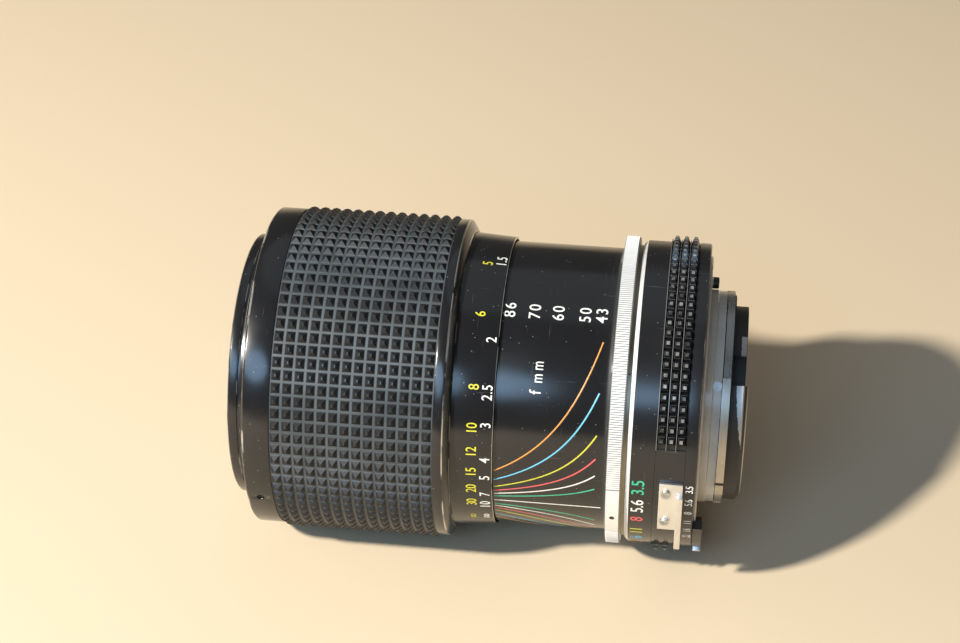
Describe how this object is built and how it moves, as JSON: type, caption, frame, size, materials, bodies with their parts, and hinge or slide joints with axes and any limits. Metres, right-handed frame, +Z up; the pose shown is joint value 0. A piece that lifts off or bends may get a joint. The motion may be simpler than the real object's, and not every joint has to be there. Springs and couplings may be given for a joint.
{
  "type": "zoom lens",
  "caption": "Manual zoom lens with a one-touch rubber-gripped sleeve, engraved scale barrel, toothed aperture ring and rear bayonet.",
  "frame": {"origin": "on the optical axis, in the plane of the mount flange's rear face", "axes": "+X along the optical axis from the front glass towards the mount, +Z up as the lens lies on its side, with its index line low on the -Y side"},
  "size_m": [0.1033, 0.0672, 0.0672],
  "materials": {
    "black_enamel": "gloss",
    "rubber": "matte",
    "chrome": "polished",
    "satin_chrome": "satin",
    "aluminium": "satin",
    "steel": "brushed",
    "black_steel": "satin",
    "matte_black": "matte",
    "brass": "satin",
    "glass": "coated"
  },
  "bodies": {
    "barrel": {"mount_plate": "chrome", "mount_screws": "steel", "tube_screws": "steel", "index_post": "black_steel", "rear_baffle": "matte_black", "rear_housing": "aluminium", "click_ball": "steel", "click_spring": "steel", "knurled_ring": "satin_chrome", "depth_scale_barrel": "black_enamel", "guide_tube": "brass", "iris_housing": "matte_black", "iris_cover": "matte_black", "relay_cell": "matte_black", "relay_element_1": "glass", "relay_element_2": "glass", "relay_element_3": "glass", "rear_element": "glass", "relay_retainer": "matte_black"},
    "zoom_carriage": {"carriage_tube": "aluminium", "guide_rollers": "brass"},
    "variator": {"variator_cell": "matte_black", "variator_pins": "brass", "variator_element_1": "glass", "variator_element_2": "glass", "variator_retainer": "matte_black"},
    "focus_sleeve": {"grip_sleeve": "black_enamel", "sleeve_screws": "black_steel", "rubber_grip": "rubber", "distance_ring": "black_enamel", "bearing_retainer": "brass"},
    "front_group": {"filter_ring": "black_enamel", "front_cell": "matte_black", "name_ring": "matte_black", "front_element": "glass", "second_element": "glass", "third_element": "glass"},
    "aperture_ring": {"aperture_ring": "black_enamel", "meter_fork": "satin_chrome", "fork_screws": "steel", "coupling_ridge": "black_enamel", "coupling_lug": "satin_chrome"},
    "iris_drive": {"iris_drive_ring": "black_steel", "stop_down_lever": "steel"},
    "iris_blade_1": {"iris_blade_1": "black_steel"},
    "iris_blade_2": {"iris_blade_2": "black_steel"},
    "iris_blade_3": {"iris_blade_3": "black_steel"},
    "iris_blade_4": {"iris_blade_4": "black_steel"},
    "iris_blade_5": {"iris_blade_5": "black_steel"},
    "iris_blade_6": {"iris_blade_6": "black_steel"}
  },
  "joints": [
    {"name": "zoom_slide", "type": "slide", "parent": "barrel", "child": "zoom_carriage", "axis": [1, 0, 0], "range_m": [0, 0.0182]},
    {"name": "focus_turn", "type": "hinge", "parent": "zoom_carriage", "child": "focus_sleeve", "pos_m": [-0.07, 0, 0], "axis": [1, 0, 0], "range_deg": [-16.5, 153]},
    {"name": "front_helicoid", "type": "slide", "parent": "focus_sleeve", "child": "front_group", "axis": [-1, 0, 0], "range_m": [-0.0007, 0.0064]},
    {"name": "variator_slide", "type": "slide", "parent": "barrel", "child": "variator", "axis": [1, 0, 0], "range_m": [0, 0.0083]},
    {"name": "aperture_turn", "type": "hinge", "parent": "barrel", "child": "aperture_ring", "pos_m": [-0.007, 0, 0], "axis": [1, 0, 0], "range_deg": [-24, 18.8]},
    {"name": "iris_drive_turn", "type": "hinge", "parent": "barrel", "child": "iris_drive", "pos_m": [-0.025, 0, 0], "axis": [1, 0, 0], "range_deg": [-8.5, 6.7]},
    {"name": "iris_blade_1_turn", "type": "hinge", "parent": "barrel", "child": "iris_blade_1", "pos_m": [-0.022, 0.01532, 0.00558], "axis": [1, 0, 0], "range_deg": [-12.6, 16.1]},
    {"name": "iris_blade_2_turn", "type": "hinge", "parent": "barrel", "child": "iris_blade_2", "pos_m": [-0.022, 0.00283, 0.01605], "axis": [1, 0, 0], "range_deg": [-12.6, 16.1]},
    {"name": "iris_blade_3_turn", "type": "hinge", "parent": "barrel", "child": "iris_blade_3", "pos_m": [-0.022, -0.01249, 0.01048], "axis": [1, 0, 0], "range_deg": [-12.6, 16.1]},
    {"name": "iris_blade_4_turn", "type": "hinge", "parent": "barrel", "child": "iris_blade_4", "pos_m": [-0.022, -0.01532, -0.00558], "axis": [1, 0, 0], "range_deg": [-12.6, 16.1]},
    {"name": "iris_blade_5_turn", "type": "hinge", "parent": "barrel", "child": "iris_blade_5", "pos_m": [-0.022, -0.00283, -0.01605], "axis": [1, 0, 0], "range_deg": [-12.6, 16.1]},
    {"name": "iris_blade_6_turn", "type": "hinge", "parent": "barrel", "child": "iris_blade_6", "pos_m": [-0.022, 0.01249, -0.01048], "axis": [1, 0, 0], "range_deg": [-12.6, 16.1]}
  ],
  "couplings": [
    {"joint": "front_helicoid", "follows": "focus_turn", "m_per_rad": 0.00236},
    {"joint": "variator_slide", "follows": "zoom_slide", "ratio": 0.45},
    {"joint": "iris_drive_turn", "follows": "aperture_turn", "ratio": 0.35},
    {"joint": "iris_blade_1_turn", "follows": "aperture_turn", "ratio": -0.66355},
    {"joint": "iris_blade_2_turn", "follows": "aperture_turn", "ratio": -0.66355},
    {"joint": "iris_blade_3_turn", "follows": "aperture_turn", "ratio": -0.66355},
    {"joint": "iris_blade_4_turn", "follows": "aperture_turn", "ratio": -0.66355},
    {"joint": "iris_blade_5_turn", "follows": "aperture_turn", "ratio": -0.66355},
    {"joint": "iris_blade_6_turn", "follows": "aperture_turn", "ratio": -0.66355}
  ]
}
